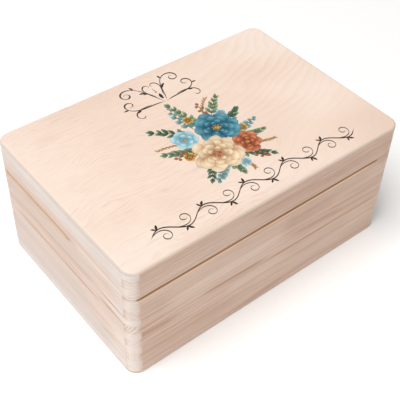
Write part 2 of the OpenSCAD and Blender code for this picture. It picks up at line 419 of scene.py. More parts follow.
def pine(name, along_x, pith, seed, marks, ring=2.2, contrast=1.0, tilt=0.012, pale_band=(), tint=NO_TINT,
         flank=GOLDEN, arris=(ARRIS_HIGHLIGHT, 0.7), run=(-200, 200), turned=0.9, gap_shade=0.85):
    """Solid pine, so that faces and end grain agree. Both boards of a pair share it, and marks show on the
    front or left one. The pale band makes the board paler up or down it: where it starts, where it is full,
    and its strength; it is sapwood at the top of the lid rails and makes the lower side staves paler towards
    the bottom. Turned is the rings' extra contrast where a corner is rounded; the corners are also paler,
    partly sanded wood and partly painted light. Away from the corners the tint is multiplied in, and on the
    front and back boards it is painted shade, darker and warmer. Flank and arris are tones of the seam's
    groove, the arris a painted highlight on the front and back boards; run is where its lower edge is
    sanded, and the last argument is the strength of the painted shade along the saw cut."""
    s = Shader(name)
    along, across = (s.x, s.y) if along_x else (s.y, s.x)
    side = s.math("SIGN", across)
    axes = (along, s.times(across, side), s.z)
    seed = s.total(seed, (side, SIDE_SHIFT))

    def grain(sizes, detail, roughness, shift):
        return s.pattern(axes, sizes, detail, roughness, s.math("ADD", seed, shift))

    radius, late = growth(s, axes, grain, seed, pith, ring, tilt)
    fibre = grain(*FIBRE)
    fine = grain(*FINE)
    hue = grain(*HUE)
    corner = s.remap(s.times(s.absolute(s.nx), s.absolute(s.ny)), *CORNER_TURN)
    end_grain = s.remap(s.absolute(s.nx if along_x else s.ny), *END_LEAN)
    lines = comb_lines(s)
    seam, rim = seam_coats(s, along, flank, arris, run, gap_shade)

    colour = s.mix(s.remap(grain(*BROAD), *BROAD_RANGE), PALE, WARM)
    for tone, reach in ((ROSY, 1.0), (OCHREOUS, -1.0)):
        colour = s.mix(s.remap(hue, 0.0, reach), colour, s.vector("MULTIPLY", colour, tone))
    # Bands paler up or down the board: sapwood at the top of the lid's side rails, and paler towards the
    # bottom on the lower side staves.
    for start, full, strength in pale_band:
        colour = s.mix(s.remap(s.z, start, full, 0.0, strength), colour, SAP_AND_PAINTED_LIGHT)
    if along_x:
        colour = s.mix(s.times(end_grain, END_CHALK), colour, SAP_AND_PAINTED_LIGHT)
    sharper = s.total(1.0, (end_grain, END_SHARPNESS), (corner, turned))
    rings = s.times(late, sharper, s.remap(grain(*PATCH), *PATCH_RANGE), contrast)
    colour = s.lay(colour, (rings, LATE_WOOD_AND_SHADE), (s.remap(radius, *HEART_RANGE), LATE_WOOD_AND_SHADE))
    colour = s.shade(colour, (grain(*THREAD), THREAD_SHADE), (fibre, FIBRE_SHADE), (fine, FINE_SHADE))
    canal = s.remap(grain(*CANAL), *CANAL_RANGE)
    colour = s.mix(s.times(canal, CANAL_TONE), colour, LATE_WOOD_AND_SHADE)
    marked_side = s.math("LESS_THAN", side, 0.0)
    ragged = s.total(s.z, (fibre, STREAK_RAG))
    for tone, places in marks:
        colour = s.mix(s.times(streaks(s, along, ragged, places), marked_side), colour, tone)
    # Rounded corners made paler and lighter: partly sanded wood, partly painted light.
    colour = s.mix(s.times(corner, CORNER_PALE_AND_PAINTED_LIGHT), colour, SAP_AND_PAINTED_LIGHT)
    colour = s.shade(colour, (corner, CORNER_PAINTED_LIGHT))
    glue = s.near(s.z, GLUE_Z, GLUE_LINE)
    colour = s.lay(colour, *seam, (s.times(lines, COMB_TONE), LATE_WOOD_AND_SHADE), (s.times(glue, GLUE_TONE), LATE_WOOD_AND_SHADE))
    # Away from the corners the tint is multiplied in; on the front and back boards it is painted shade.
    colour = s.mix(s.inverse(corner), colour, s.vector("MULTIPLY", colour, tint))

    kerf = s.pattern((s.x, s.y, 0.0), KERF_SIZES)
    relief = ((late, LATE_RELIEF), (fibre, FIBRE_RELIEF), (fine, FINE_RELIEF), (lines, COMB_RELIEF))
    height = s.total(0.0, *relief, (s.times(kerf, rim), KERF_RELIEF))
    rough = s.total(PINE_ROUGH, (late, LATE_ROUGH), (fibre, FIBRE_ROUGH))
    return s.finish(colour, rough, s.bump(height, PINE_BUMP), Specular_IOR_Level=WOOD_SPECULAR)


# The pith of each stave: how far from the middle of the box, and how high.
UPPER_PITH_LONG = (HALF_DEPTH - 14.0, 63.5)
UPPER_PITH_SHORT = (HALF_LENGTH - 14.0, 63.0)
LOWER_PITH_LONG = (HALF_DEPTH + 34, 20.0)
LOWER_PITH_SHORT = (HALF_LENGTH + 40, 24.0)
# Resin streaks and bands of other tones, as streaks() takes them, on the front and on the left side.
FRONT_STREAKS = (
    (-86, 2, 56.4, -3.2, 1.3, 0.75),
    (-60, 30, 49.6, -1.2, 0.6, 0.40),
    (-8, 150, 49.2, -3.2, 0.8, 0.60),
    (14, 98, 64.0, -5.2, 1.6, 0.42),
    (60, 150, 66.5, -2.0, 0.7, 0.34),
    (-175, -96, 53.5, -4.5, 1.8, 0.50),
    (-150, -30, 26.0, -2.0, 1.0, 0.28),
    (-150, -84, 38.0, 1.0, 0.9, 0.30),
    (-30, 190, 110.0, 0.0, 6.0, 0.22),
    (-40, 60, 117.0, -1.0, 1.0, 0.34),
    (4, 130, 84.0, -1.0, 4.0, 0.20),
)
FRONT_PALE = (
    (-122, 24, 72.0, 0.0, 7.0, 0.50),
    (-60, 30, 43.0, -3.0, 4.0, 0.40),
    (60, 170, 78.0, 0.0, 4.0, 0.30),
)
LEFT_STREAKS = (
    (-108, -48, 73.0, 1.8, 0.7, 0.80),
    (-108, -48, 62.8, 2.2, 0.8, 0.90),
    (-60, 84, 58.8, 0.0, 0.7, 0.75),
    (-60, 96, 75.0, -1.5, 1.1, 0.40),
)
LEFT_PALE = (
    (-110, -12, 99.2, 0.0, 1.5, 0.9),
    (-110, -52, 77.4, 0.8, 0.8, 0.7),
    (-110, -56, 68.6, 1.4, 1.2, 0.8),
    (-110, -62, 36.0, 0.0, 6.0, 0.5),
)
LEFT_CHALKY = (
    (-112, -66, 86.0, 0.0, 32.0, 0.50),
)
LEFT_DUSKY = (
    (-64, 110, 85.0, 0.0, 7.0, 0.26),
    (-50, 150, 41.0, 0.0, 8.0, 0.40),
    (-80, 150, 14.0, 0.0, 9.0, 0.55),
)
FRONT_MARKS = ((LATE_WOOD_AND_SHADE, FRONT_STREAKS), (BLEACHED, FRONT_PALE))
LEFT_MARKS = ((LATE_WOOD_AND_SHADE, LEFT_STREAKS), (BLEACHED, LEFT_PALE), (SAP_AND_PAINTED_LIGHT, LEFT_CHALKY), (DUSKY, LEFT_DUSKY))

long_upper = pine("pine_long_upper", True, UPPER_PITH_LONG, 1.3, FRONT_MARKS, tint=LONG_SHADE_TINT, run=(-147, 120))
long_lower = pine("pine_long_lower", True, LOWER_PITH_LONG, 5.2, FRONT_MARKS, ring=2.0, contrast=0.55,
                  tilt=0.02, tint=LONG_SHADE_TINT, turned=-0.5)
short_upper = pine("pine_short_upper", False, UPPER_PITH_SHORT, 8.8, LEFT_MARKS, contrast=0.5,
                   pale_band=((103, 117, 0.85),), flank=TANNED, arris=(TANNED, 0.8), run=(-18, 110), gap_shade=0.45)
short_lower = pine("pine_short_lower", False, LOWER_PITH_SHORT, 12.6, LEFT_MARKS, ring=2.0, contrast=0.3,
                   tilt=0.02, pale_band=((36, 4, 0.9),), turned=-0.5)

dress(long_upper, "base_front_upper", "base_back_upper", "lid_front_rail", "lid_back_rail")
dress(long_lower, "base_front_lower", "base_back_lower")
dress(short_upper, "base_left_upper", "base_right_upper", "lid_left_rail", "lid_right_rail")
dress(short_lower, "base_left_lower", "base_right_lower")


# -------------------------------- plywood

# Patterns of the veneer: sizes along X, across and up, then detail, roughness and the seed's shift.
PLY_DRIFT = ((120, 38, 200), 2.0, 0.5, 0)
PLY_WOBBLE = ((26, 9, 60), 2.0, 0.5, 3)
PLY_STRENGTH = ((70, 40, 200), 1.0, 0.5, 7)
PLY_BROAD = ((90, 55, 200), 2.0, 0.5, 11)
PLY_FLECK = ((4.2, 1.5, 40), 2.0, 0.6, 13)
PLY_PORE = ((2.6, 0.24, 1), 1.0, 0.5, 17)
PLY_BREAK = ((13, 2.4, 40), 1.0, 0.5, 19)
PLY_FIBRE = ((11, 0.45, 9), 3.0, 0.6, 0)
PLY_DRIFT_PUSH, PLY_WOBBLE_PUSH = 17.0, 1.3
# The figure: pitches of its main, weaker and wide lines, and where the wide ones take over.
PLY_LATE = (2.0, 0.86)
MAIN_PITCH, WEAK_PITCH, WIDE_PITCH = 5.6, 2.7, 9.6
WEAK_FROM, WEAK_SHARE = 1.15, 0.8
WIDE_RANGE = (0.0, 1.0, 0.35, 0.9)
WIDE_PART = (-20, 80)
STRENGTH_RANGE = (-0.6, 0.7)
BREAK_RANGE = (-0.5, 0.5, 0.3, 1.5)
PLY_BROAD_RANGE = (-0.8, 0.8)
PORE_RANGE = (0.82, 1.0)
# Strengths of its tones and shades, relief and roughness.
FIGURE_TONE, PORE_TONE = 0.31, 0.22
FLECK_SHADE, PLY_FIBRE_SHADE = 0.022, 0.03
PLY_FIBRE_RELIEF, PORE_RELIEF, PLY_BUMP = 0.3, -0.6, 0.035
PLY_ROUGH, FIGURE_ROUGH = 0.6, -0.05
# The plies at the edge: its lean, how thick the core and the glue show, and their strengths.
EDGE_LEAN = (0.995, 0.86)
END_TURN = (0.2, 0.7)
CORE_HALF, PLY_GLUE = 0.62, 0.12
EDGE_TONE, CORE_TONE, PLY_GLUE_TONE = 0.75, 0.3, 0.25
EDGE_PLY = srgb(230, 211, 197)
END_PLY = srgb(204, 194, 187)
SAP_VENEER = srgb(246, 234, 224)


def oval(s, x, y, half_x, half_y, strength):
    """Mask of a soft oval area, given by its middle, its half sizes and its strength."""
    off_x = s.math("DIVIDE", s.less(s.x, x), half_x)
    off_y = s.math("DIVIDE", s.less(s.y, y), half_y)
    away = s.vector("LENGTH", s.join(off_x, off_y, 0.0))
    return s.remap(away, 0.0, 1.0, strength, 0.0)


def plywood(name, tones, figure, face_z, seed, dark_places=(), pale_places=(), calm_places=()):
    """Rotary-cut veneer on three plies. Its figure runs along X and climbs towards the right end. Places are
    ovals of darker or paler wood, or of a calmer figure."""
    s = Shader(name)
    pale, warm, dark, core = tones
    climb_from, climb = figure

    def veneer(across, sizes, detail, roughness, shift):
        return s.pattern((s.x, across, s.z), sizes, detail, roughness, seed + shift)

    def lines(pitch):
        return late_wood(s, s.math("DIVIDE", flow, pitch), *PLY_LATE)

    right = s.math("MAXIMUM", s.less(s.x, climb_from), 0.0)
    flow = s.less(s.y, s.times(right, right, climb))
    for patterned, push in ((PLY_DRIFT, PLY_DRIFT_PUSH), (PLY_WOBBLE, PLY_WOBBLE_PUSH)):
        flow = s.total(flow, (veneer(s.y, *patterned), push))
    strength = s.remap(veneer(s.y, *PLY_STRENGTH), *STRENGTH_RANGE)
    main = s.times(lines(MAIN_PITCH), strength)
    weaker = s.less(WEAK_FROM, strength)
    weak = s.times(lines(WEAK_PITCH), weaker, WEAK_SHARE)
    broken = s.remap(veneer(flow, *PLY_BREAK), *BREAK_RANGE)
    narrow = s.times(s.math("MAXIMUM", main, weak), broken)
    wide = s.times(lines(WIDE_PITCH), s.remap(strength, *WIDE_RANGE))
    to_right = s.remap(s.x, *WIDE_PART)
    band = s.math("ADD", s.times(narrow, s.inverse(to_right)), s.times(wide, to_right))
    for place in calm_places:
        band = s.times(band, s.inverse(oval(s, *place)))
    fleck = veneer(flow, *PLY_FLECK)
    fibre = veneer(flow, *PLY_FIBRE)
    pore_sizes, *pore_noise, pore_shift = PLY_PORE
    pore = s.remap(s.pattern((s.x, s.y, 0.0), pore_sizes, *pore_noise, seed + pore_shift), *PORE_RANGE)

    colour = s.mix(s.remap(veneer(s.y, *PLY_BROAD), *PLY_BROAD_RANGE), pale, warm)
    colour = s.lay(colour, *((oval(s, *place), dark) for place in dark_places))
    colour = s.mix(s.times(band, FIGURE_TONE), colour, dark)
    colour = s.lay(colour, *((oval(s, *place), SAP_VENEER) for place in pale_places))
    colour = s.shade(colour, (fleck, FLECK_SHADE), (fibre, PLY_FIBRE_SHADE))
    colour = s.mix(s.times(pore, PORE_TONE), colour, dark)

    depth = s.absolute(s.less(s.z, face_z))
    ply = PANEL_T / 3
    core_ply = s.near(depth, PANEL_T / 2, ply * CORE_HALF)
    glue = s.math("MAXIMUM", s.near(depth, ply, PLY_GLUE), s.near(depth, 2 * ply, PLY_GLUE))
    on_edge = s.remap(s.absolute(s.nz), *EDGE_LEAN)
    edge_tone = s.mix(s.remap(s.absolute(s.nx), *END_TURN), EDGE_PLY, END_PLY)
    colour = s.lay(
        colour,
        (s.times(on_edge, EDGE_TONE), edge_tone),
        (s.times(core_ply, on_edge, CORE_TONE), core),
        (s.times(glue, on_edge, PLY_GLUE_TONE), dark),
    )
    height = s.total(0.0, (pore, PORE_RELIEF), (fibre, PLY_FIBRE_RELIEF))
    rough = s.total(PLY_ROUGH, (band, FIGURE_ROUGH))
    return s.finish(colour, rough, s.bump(height, PLY_BUMP), Specular_IOR_Level=WOOD_SPECULAR)


# Ovals on the top: their middle, half sizes and strength.
TOP_DARK_PLACES = (
    (-60, 96, 110, 34, 0.26),
    (-60, -104, 120, 24, 0.26),
    (140, -92, 90, 66, 0.30),
    (60, 96, 60, 40, 0.12),
    (-115, 71, 22, 10, 0.16),
    (60, -30, 60, 50, 0.08),
)
TOP_PALE_PLACES = (
    (-165, 30, 80, 110, 0.35),
    (-140, -84, 80, 56, 0.42),
    (140, 80, 70, 60, 0.40),
    (140, 0, 40, 60, 0.22),
)
TOP_CALM_PLACES = (
    (120, -70, 130, 95, 0.85),
)
# Pale, warm and dark wood, and the core ply.
TOP_TONES = (srgb(241, 221, 207), srgb(235, 211, 194), srgb(196, 156, 128), srgb(220, 200, 184))
BOTTOM_TONES = (srgb(232, 214, 196), srgb(224, 200, 178), srgb(176, 138, 108), srgb(210, 184, 158))
# Where the figure starts to climb, and how steeply.
TOP_FIGURE = (-10.0, 0.0018)
BOTTOM_FIGURE = (-40.0, 0.0012)
top_ply = plywood("plywood_top", TOP_TONES, TOP_FIGURE, TOP_Z, 2.0, TOP_DARK_PLACES, TOP_PALE_PLACES,
                  TOP_CALM_PLACES)
bottom_ply = plywood("plywood_bottom", BOTTOM_TONES, BOTTOM_FIGURE, 0.0, 31.0)
dress(top_ply, "lid_panel")
dress(bottom_ply, "bottom_panel")


# -------------------------------- metal

SCRATCH = ((9, 0.12, 0.12), 3.0, 0.6)
CLOUD = (0.35, 3.0, 0.6, 5.0)
SPOT = (1.6, 2.0, 0.5, 9.0)
CLOUD_RANGE = (-0.4, 0.9)
SPOT_RANGE = (0.6, 0.95)
TARNISH, TARNISH_TONE = srgb(120, 86, 44), 0.35
SCRATCH_SHADE, SCRATCH_BUMP = 0.05, 0.012
CLOUD_ROUGH, SPOT_ROUGH = 0.07, 0.2


def plated(name, base, worn, rough):
    """Thin brass plating: fine rolled scratches, dull spots and paler rubbed places."""
    s = Shader(name)
    scratch = s.pattern((s.x, s.y, s.z), *SCRATCH)
    cloud = s.mottle(*CLOUD)
    spot = s.remap(s.mottle(*SPOT), *SPOT_RANGE)
    colour = s.mix(s.remap(cloud, *CLOUD_RANGE), base, worn)
    colour = s.shade(colour, (scratch, SCRATCH_SHADE))
    colour = s.mix(s.times(spot, TARNISH_TONE), colour, TARNISH)
    dull = s.total(rough, (cloud, CLOUD_ROUGH), (spot, SPOT_ROUGH))
    return s.finish(colour, dull, s.bump(scratch, SCRATCH_BUMP), Metallic=1.0)


METALS = {
    "_leaf": plated("hinge_plating", srgb(230, 196, 128), srgb(242, 220, 170), 0.42),
    "_pin": plated("pin_plating", srgb(224, 192, 128), srgb(238, 216, 168), 0.38),
    "_screws": plated("screw_plating", srgb(236, 204, 138), srgb(244, 224, 176), 0.36),
}

for ending, metal in METALS.items():
    dress(metal, *(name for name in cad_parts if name.endswith(ending)))


# -------------------------------- print on the lid

# The ink's thickness, the height of the first shape, the step to each next one and the foliage's share.
FILM = 0.01
FIRST_LAYER = 0.012
LAYER = 0.0004
FOLIAGE_LAYERS = 0.12


class Print:
    """Collects flat painted shapes, each a little above the last, in one mesh with a colour per vertex."""

    def __init__(self, name, first=FIRST_LAYER):
        self.name = name
        self.level = TOP_Z + first
        self.points, self.tints, self.faces = [], [], []

    def grid(self, rows):
        """Adds a sheet from rows of (x, y, colour), all rows of one length."""
        start = len(self.points)
        across = len(rows[0])
        for row in rows:
            for x, y, colour in row:
                self.points.append((x * MM, y * MM, self.level * MM))
                self.tints.append(colour)
        for i in range(len(rows) - 1):
            for j in range(across - 1):
                a = start + i * across + j
                self.faces.append((a, a + 1, a + across + 1, a + across))
        self.level += LAYER

    def build(self, material):
        mesh = bpy.data.meshes.new(self.name)
        mesh.from_pydata(self.points, [], self.faces)
        mesh.validate()
        tint = mesh.color_attributes.new("tint", "FLOAT_COLOR", "POINT")
        for i, colour in enumerate(self.tints):
            tint.data[i].color = (*colour, 1.0)
        for face in mesh.polygons:
            if face.normal.z < 0:
                face.flip()
        mesh.materials.append(material)
        piece = bpy.data.objects.new(self.name, mesh)
        scene.collection.objects.link(piece)
        film = piece.modifiers.new("film", "SOLIDIFY")
        film.thickness = FILM * MM
        film.offset = -1.0
        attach(piece, "lid")


def blend(a, b, share):
    return tuple(x + (y - x) * share for x, y in zip(a, b))


def lerp(a, b, share):
    return a + (b - a) * share


def towards(place, heading, reach):
    """The place at a distance along a heading."""
    return place[0] + reach * math.cos(heading), place[1] + reach * math.sin(heading)


def beside(place, heading, off):
    """The place at a distance to the left of a heading."""
    return place[0] - off * math.sin(heading), place[1] + off * math.cos(heading)


# Shares of a petal's length and half width, and strengths of the pigment.
THROAT_REACH, THROAT_POWER = 0.82, 1.5
RIM_START, RIM_SIDES = 0.6, 0.6
VEINS, VEIN_SLANT, VEIN_STRENGTH = 9, 2.2, 0.18
POOL_START = 0.9


def wash(throat, middle, rim, t, v, pool, phase):
    """Watercolour at t along a petal and v across it: dark in the throat, clear in the middle, with pigment
    pooled at its rim."""
    colour = blend(throat, middle, min(1.0, t / THROAT_REACH) ** THROAT_POWER)
    colour = blend(colour, rim, max(0.0, (t - RIM_START) / (1 - RIM_START)) * (1 - RIM_SIDES * abs(v)))
    vein = 0.5 + 0.5 * math.sin(v * VEINS + phase + t * VEIN_SLANT)
    colour = blend(colour, throat, VEIN_STRENGTH * vein * (1 - t))
    edge = max(abs(v), t)
    if edge > POOL_START:
        colour = blend(colour, throat, pool * (edge - POOL_START) / (1 - POOL_START))
    return colour


BLACK = (0.0, 0.0, 0.0)
ACROSS = (-1.0, -0.94, -0.82, -0.55, -0.25, 0.0, 0.25, 0.55, 0.82, 0.94, 1.0)
PETAL_ROWS = 15
FULL_TURN = 6.28
PIGMENT = (0.84, 1.08)
SWAY = 0.12
RIPPLE, RIPPLES = (0.02, 0.05), 11
PETAL_ROUND = 0.75
PETAL_TIP = 0.01


def petal(art, base, heading, length, width, colours, rng, fullness=0.62, pool=0.5, cup=0.0):
    """A petal or leaf from its base along a heading. Fullness says how far out it is widest."""
    strength = rng.uniform(*PIGMENT)
    throat, middle, rim = (blend(BLACK, colour, strength) for colour in colours)
    sway = rng.uniform(-SWAY, SWAY)
    phase = rng.uniform(0, FULL_TURN)
    ripple = rng.uniform(*RIPPLE)
    rows = []
    for i in range(PETAL_ROWS + 1):
        t = i / PETAL_ROWS
        bend = heading + sway * t * 2 + cup * t
        peak = t ** (math.log(0.5) / math.log(fullness))
        swell = math.sin(math.pi * min(peak, 1.0)) ** PETAL_ROUND / 2 if 0 < t < 1 else PETAL_TIP
        half = width * swell * (1 + ripple * math.sin(t * RIPPLES + phase))
        spine = towards(base, bend, length * t)
        rows.append([(*beside(spine, bend, half * v), wash(throat, middle, rim, t, v, pool, phase))
                     for v in ACROSS])
    art.grid(rows)


PETAL_JITTER = 0.14
PETAL_LENGTH = (0.92, 1.06)
PETAL_WIDTH = (0.95, 1.15)
PETAL_ROOT = 0.05
PETAL_FULLNESS = 0.66


def blossom(art, centre, radius, colours, rng, rings):
    """Rings of petals from the outside in: how many, how far they reach and how broad they are."""
    turn = rng.uniform(0, FULL_TURN)
    for count, reach, breadth in rings:
        for i in range(count):
            heading = turn + (i + rng.uniform(-PETAL_JITTER, PETAL_JITTER)) * 2 * math.pi / count
            length = radius * reach * rng.uniform(*PETAL_LENGTH)
            width = radius * reach * breadth * rng.uniform(*PETAL_WIDTH)
            base = towards(centre, heading, radius * PETAL_ROOT)
            petal(art, base, heading, length, width, colours, rng, fullness=PETAL_FULLNESS)
        turn += math.pi / count


DISC_RINGS = (0.02, 0.55, 0.85, 1.0)
GOLDEN_ANGLE = 2.39996
EYE_DISC = 0.62
SEED = (0.09, 0.15)


def disc(art, centre, radius, inner, outer, sides=18):
    """A round dab, inner colour in the middle and outer colour at its rim."""
    rows = []
    for share in DISC_RINGS:
        tone = blend(inner, outer, share ** 2)
        rows.append([(*towards(centre, i * 2 * math.pi / sides, radius * share), tone)
                     for i in range(sides + 1)])
    art.grid(rows)


def eye(art, centre, radius, colours, rng, dots):
    """Stippled centre of a flower: a disc with darker and lighter seeds."""
    disc(art, centre, radius * EYE_DISC, colours[1], colours[0])
    for i in range(dots):
        spot = towards(centre, i * GOLDEN_ANGLE, radius * math.sqrt((i + 0.5) / dots))
        tone = blend(colours[0], colours[2], rng.random())
        disc(art, spot, radius * rng.uniform(*SEED), tone, tone)


def curl(start, heading, length, bend_start, bend_end, power=1.0, steps=48):
    """Points and headings of a line whose curvature grows along it, as a pen flourish does."""
    place = start
    step = length / steps
    out = [(*place, heading)]
    for i in range(steps):
        bend = lerp(bend_start, bend_end, ((i + 0.5) / steps) ** power)
        heading += bend * step
        place = towards(place, heading, step)
        out.append((*place, heading))
    return out


def at(path, share):
    """The point and heading at a share of a path's length."""
    return path[int(share * (len(path) - 1))]


def mirrored(path):
    """The path on the other side of x = 0."""
    return [(-x, y, math.pi - heading) for x, y, heading in path]


NIB = 0.9
NIB_POWER = 1.4
BLUNT_END = 0.12
STROKE_ACROSS = (-1.0, -0.6, 0.0, 0.6, 1.0)


def stroke(art, path, width, colour, nib=NIB, thin=0.45, taper=0.16, edge=None):
    """A pen or brush line along a path, thick where it runs across the nib's edge and thin along it."""
    rows = []
    last = len(path) - 1
    for i, (x, y, heading) in enumerate(path):
        share = i / last
        ends = min(1.0, share / taper, (1 - share) / taper)
        pressure = thin + (1 - thin) * abs(math.sin(heading - nib)) ** NIB_POWER
        half = width / 2 * pressure * max(BLUNT_END, math.sin(ends * math.pi / 2))
        row = []
        for v in STROKE_ACROSS:
            tone = blend(colour, edge, abs(v)) if edge else colour
            row.append((*beside((x, y), heading, half * v), tone))
        rows.append(row)
    art.grid(rows)


# Colours of the wash: the throat or shade, the clear middle and the rim.
TEAL = (srgb(10, 52, 70), srgb(42, 112, 134), srgb(122, 182, 194))
SKY = (srgb(84, 142, 166), srgb(156, 204, 216), srgb(210, 230, 228))
CREAM = (srgb(152, 104, 66), srgb(228, 196, 156), srgb(246, 230, 204))
CLAY = (srgb(112, 46, 28), srgb(184, 96, 60), srgb(222, 158, 118))
OCHRE = (srgb(112, 66, 24), srgb(204, 150, 58), srgb(240, 208, 128))
SAGE = (srgb(74, 98, 72), srgb(126, 150, 112), srgb(178, 192, 152))
FERN = (srgb(44, 76, 62), srgb(88, 124, 94), srgb(148, 170, 128))
MIST = (srgb(84, 122, 122), srgb(138, 174, 170), srgb(186, 208, 198))
STRAW = (srgb(150, 108, 66), srgb(206, 170, 120), srgb(232, 208, 166))
INK = srgb(52, 38, 34)
INK_EDGE = srgb(80, 62, 56)

BLOOM = (0.28, 3.0, 0.6, 2.0)
GRIT = (2.6, 2.0, 0.6, 6.0)
INK_FIBRE = ((8, 0.4, 9), 2.0, 0.6)
BARE_RANGE = (0.35, 1.1, 0.0, 0.3)
BLOOM_SHADE, GRIT_SHADE = 0.16, 0.07
INK_ROUGH, INK_SPECULAR = 0.5, 0.4


def painted(name):
    """Pigment in the wood: it takes each vertex's tint, mottled by the wash and broken by the grain."""
    s = Shader(name)
    tint = s.node("ShaderNodeAttribute", attribute_name="tint").outputs["Color"]
    colour = s.shade(tint, (s.mottle(*BLOOM), BLOOM_SHADE), (s.mottle(*GRIT), GRIT_SHADE))
    fibre = s.pattern((s.x, s.y, s.z), *INK_FIBRE)
    colour = s.mix(s.remap(fibre, *BARE_RANGE), colour, TOP_TONES[0])
    return s.finish(colour, INK_ROUGH, Specular_IOR_Level=INK_SPECULAR)


watercolour = painted("print_watercolour")


# Each spray of the posy: where it starts, its heading, length and bend, its leaf's length and colours.
SPRAYS = (
    ((0, 2), 1.50, 42, 0.010, 11, SAGE),
    ((-10, -6), 2.15, 40, 0.012, 12, FERN),
    ((-14, -20), 2.95, 34, -0.012, 11, SAGE),
    ((-12, -34), 3.75, 30, 0.014, 10, FERN),
    ((-4, -42), 4.55, 20, 0.012, 10, SAGE),
    ((8, -36), 5.30, 32, 0.012, 11, FERN),
    ((18, -26), 5.95, 26, 0.014, 10, SAGE),
    ((20, -6), 0.30, 25, 0.016, 11, FERN),
    ((14, 4), 0.95, 36, -0.010, 11, SAGE),
)
# Wands of round leaves, grasses and twigs of berries: where each starts, its heading, length and bend.
WANDS = (
    ((-4, 0), 1.88, 40, -0.012),
    ((18, -18), -0.12, 29, 0.016),
    ((-10, -40), 4.15, 27, -0.014),
)
GRASSES = (
    ((6, 2), 1.20, 42, -0.010),
    ((-12, -12), 2.60, 40, 0.008),
    ((4, -42), 4.92, 24, -0.010),
    ((18, -34), 5.62, 30, 0.012),
)
BERRY_TWIGS = (
    ((10, 6), 1.02, 27, 0.016),
    ((-20, -18), 3.30, 22, -0.020),
    ((14, -44), 5.10, 19, 0.020),
)
# Below, a share is a part of the stem, a size is in millimetres and a turn in radians.
SPRAY_PAIRS, SPRAY_TURN, SPRAY_FULLNESS = 6, 0.8, 0.55
WAND_LEAVES, WAND_TURN, WAND_SIZE = 9, (0.75, 0.95), (9.0, 4.2)
GRASS_SEEDS, GRASS_TURN, GRASS_SIZE = 13, 0.42, (4.0, 4.8)
BERRIES, BERRY_TURN, BERRY_SIZE, BERRY_STALK = 5, 0.9, (1.45, 1.9), 2.4


def spray(art, start, heading, length, bend, leaf, colours, rng):
    """A stem with pairs of leaves that shrink towards its tip."""
    path = curl(start, heading, length, bend, bend * 0.4)
    stroke(art, path, 0.9, colours[0], thin=0.7)
    for i in range(SPRAY_PAIRS):
        share = 0.2 + 0.76 * i / (SPRAY_PAIRS - 1)
        x, y, heading = at(path, share)
        size = leaf * (1.05 - 0.5 * share) * rng.uniform(0.9, 1.1)
        for side in (-1, 1):
            angle = heading + side * SPRAY_TURN * rng.uniform(0.85, 1.15) * (1.1 - 0.4 * share)
            petal(art, (x, y), angle, size, size * 0.4, colours, rng, SPRAY_FULLNESS, 0.45, -side * 0.25)
    x, y, heading = path[-1]
    petal(art, (x, y), heading, leaf * 0.55, leaf * 0.2, colours, rng, SPRAY_FULLNESS)


def wand(art, start, heading, length, bend, rng):
    """A stem with round grey-blue leaves."""
    path = curl(start, heading, length, bend, bend)
    stroke(art, path, 0.8, MIST[0], thin=0.7)
    for i in range(WAND_LEAVES):
        share = 0.22 + 0.09 * i
        x, y, heading = at(path, share)
        side = 1 if i % 2 else -1
        size = lerp(*WAND_SIZE, share) * rng.uniform(0.92, 1.08)
        heading += side * rng.uniform(*WAND_TURN)
        petal(art, (x, y), heading, size, size * 0.86, MIST, rng, fullness=0.5)
    x, y, heading = path[-1]
    petal(art, (x, y), heading, 4.4, 3.4, MIST, rng, fullness=0.5)


def grass(art, start, heading, length, bend, rng):
    """A dry grass: a thin stem with seeds closing up to its tip."""
    path = curl(start, heading, length, bend, bend * 2)
    stroke(art, path, 0.55, STRAW[0], thin=0.8)
    for i in range(GRASS_SEEDS):
        x, y, heading = at(path, 0.48 + 0.04 * i)
        side = 1 if i % 2 else -1
        heading += side * GRASS_TURN
        petal(art, (x, y), heading, rng.uniform(*GRASS_SIZE), 1.5, STRAW, rng, fullness=0.45)


def berries(art, start, heading, length, bend, rng):
    """A twig with berries to both sides and one at its tip, each with a glint."""
    path = curl(start, heading, length, bend, bend)
    stroke(art, path, 0.6, FERN[0], thin=0.8)
    for i in range(BERRIES):
        x, y, heading = at(path, 0.5 + 0.125 * i)
        side = 0 if i == BERRIES - 1 else 1 if i % 2 else -1
        spot = beside((x, y), heading, side * BERRY_STALK)
        stalk = curl((x, y), heading + side * BERRY_TURN, BERRY_STALK, 0, 0, steps=4)
        stroke(art, stalk, 0.45, FERN[0], thin=0.9)
        size = rng.uniform(*BERRY_SIZE)
        disc(art, spot, size, CLAY[1], CLAY[0])
        disc(art, (spot[0] - size * 0.3, spot[1] + size * 0.35), size * 0.3, CLAY[2], CLAY[1], 8)


# Small flowers: where each is, its radius and its colours. Their one ring of petals and their eye.
FLORETS = (
    ((-31, -22), 5.6, OCHRE),
    ((31, -18), 5.2, OCHRE),
    ((-2, 18), 5.0, OCHRE),
    ((3, -55), 6.0, SKY),
    ((28, 9), 5.4, SKY),
)
FLORET_RINGS = ((5, 1.0, 0.82),)
FLORET_EYE, FLORET_DOTS = 0.3, 8
# Large flowers: where each is, its radius, colours and rings, then its eye's radius, colours and seeds.
BLOSSOMS = (
    ((-21, -2), 12.0, SKY, ((6, 1.0, 0.84), (5, 0.6, 0.74)), 2.8, OCHRE, 16),
    ((22, -36), 13.5, CLAY, ((7, 1.0, 0.78), (6, 0.68, 0.7), (4, 0.4, 0.7)), 2.6, OCHRE, 16),
    ((12, -5), 21.0, TEAL, ((9, 1.0, 0.66), (8, 0.78, 0.62), (6, 0.54, 0.6), (5, 0.34, 0.6)), 4.2, OCHRE, 30),
    ((-9, -33), 23.0, CREAM, ((10, 1.0, 0.6), (8, 0.8, 0.62), (7, 0.58, 0.6), (5, 0.36, 0.6)), 4.6, CLAY, 30),
)


